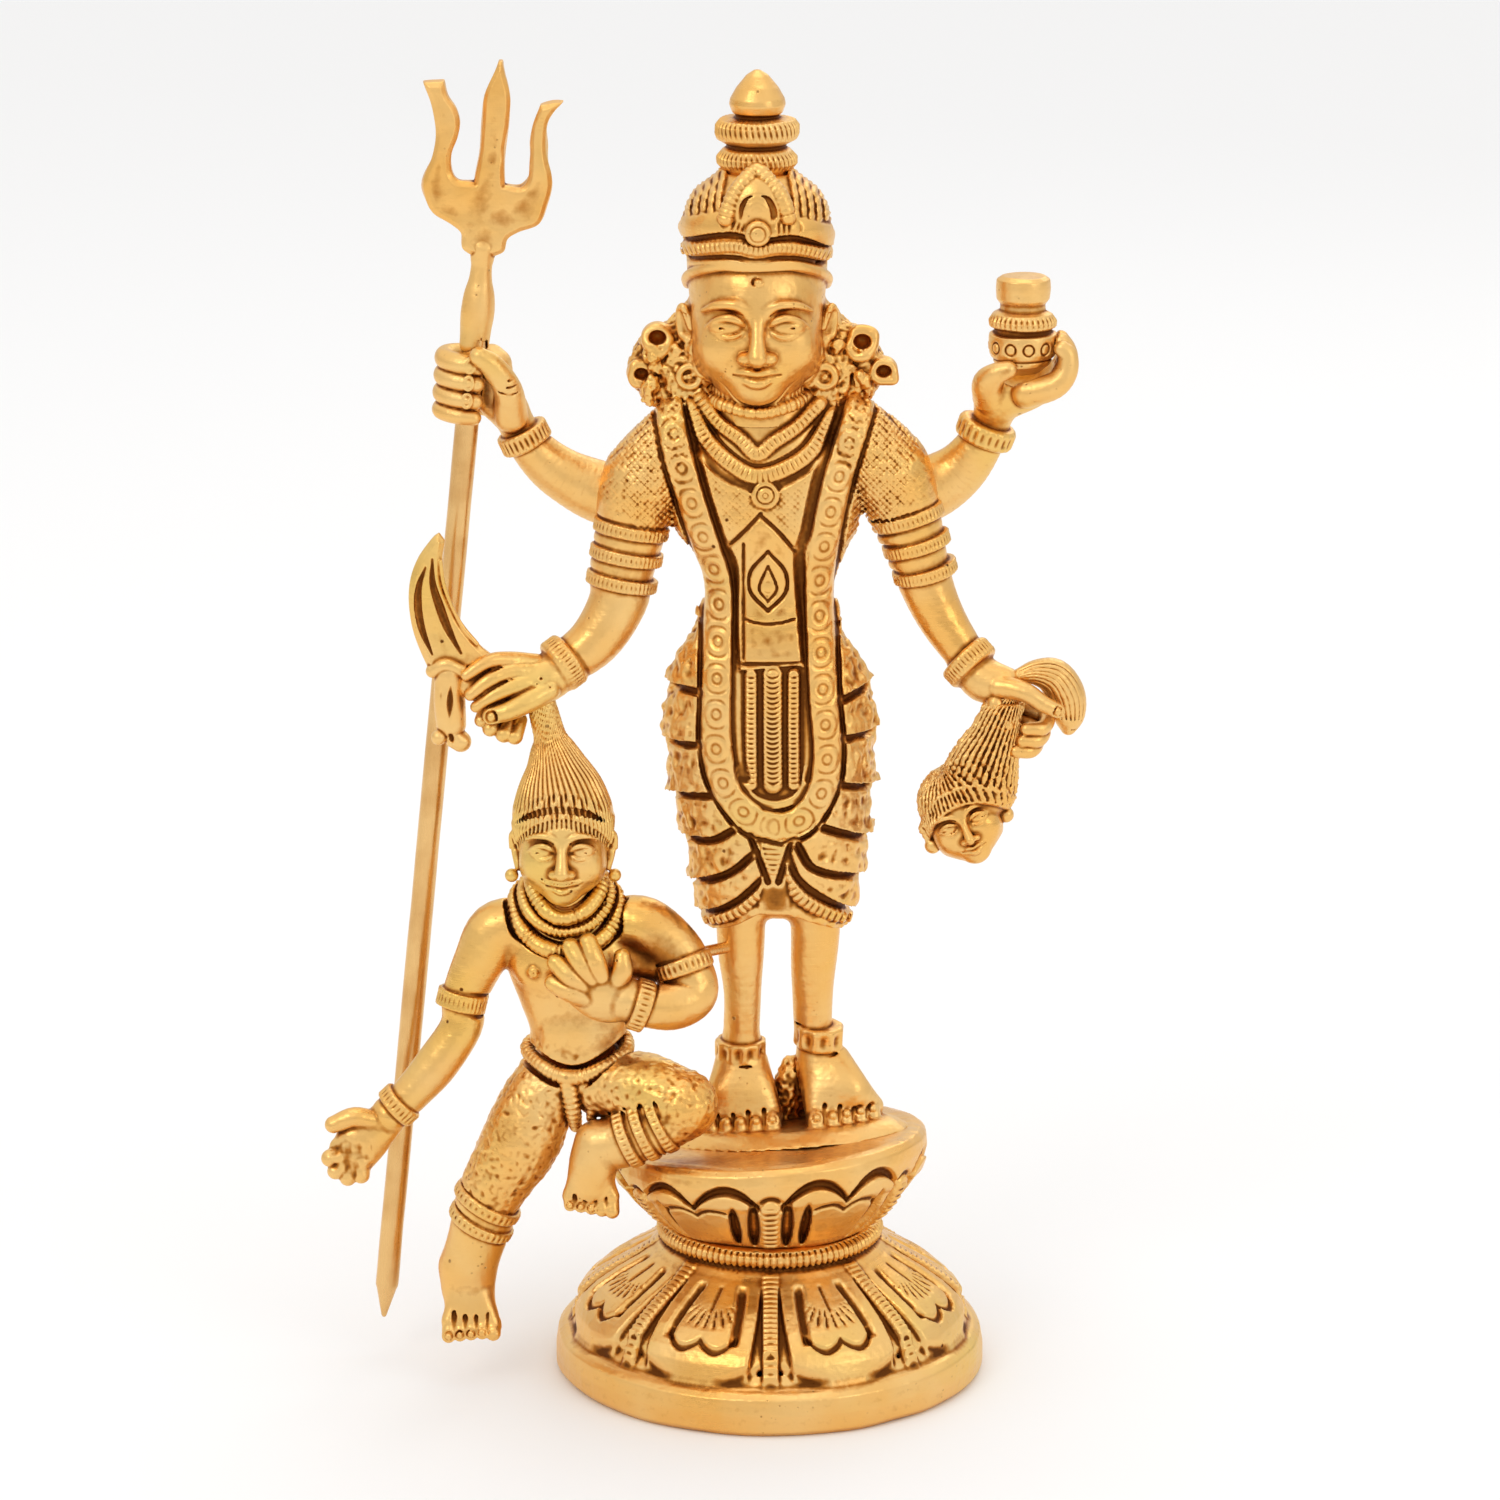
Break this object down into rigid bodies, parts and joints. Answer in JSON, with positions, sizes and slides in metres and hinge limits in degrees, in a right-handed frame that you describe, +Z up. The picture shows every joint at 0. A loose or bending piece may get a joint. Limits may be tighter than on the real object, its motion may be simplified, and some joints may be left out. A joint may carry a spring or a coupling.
{
  "type": "standing deity statue",
  "caption": "Cast brass standing four-armed deity on a double-lotus pedestal, with an attendant figure and a lift-out trident.",
  "frame": {"origin": "centre of the pedestal's underside, on the plane it rests on", "axes": "+Z up, the figures face -Y, +X towards the deity's left hand"},
  "size_m": [0.1324, 0.075, 0.2297],
  "materials": {
    "cast_brass": "cast, filed and hand polished, dark brown patina left in the recesses",
    "drawn_brass": "drawn rod, lightly brushed along its length",
    "fixing_steel": "plain zinc-plated hardware"
  },
  "bodies": {
    "statue": {"lotus_base_lower": "cast_brass", "lotus_base_upper": "cast_brass", "deity_body": "cast_brass", "crown_finial": "cast_brass", "rear_right_arm": "cast_brass", "rear_left_arm": "cast_brass", "water_pot": "cast_brass", "curved_blade": "cast_brass", "severed_head": "cast_brass", "attendant_figure": "cast_brass", "brace_pin": "drawn_brass", "tie_stud": "drawn_brass", "tie_washer": "fixing_steel", "tie_nut": "fixing_steel"},
    "trident": {"trident_rod": "drawn_brass", "trident_head": "cast_brass"}
  },
  "joints": [
    {"name": "trident_lift", "type": "slide", "parent": "statue", "child": "trident", "axis": [0.1035, 0, 0.9946], "range_m": [0, 0.172]}
  ]
}
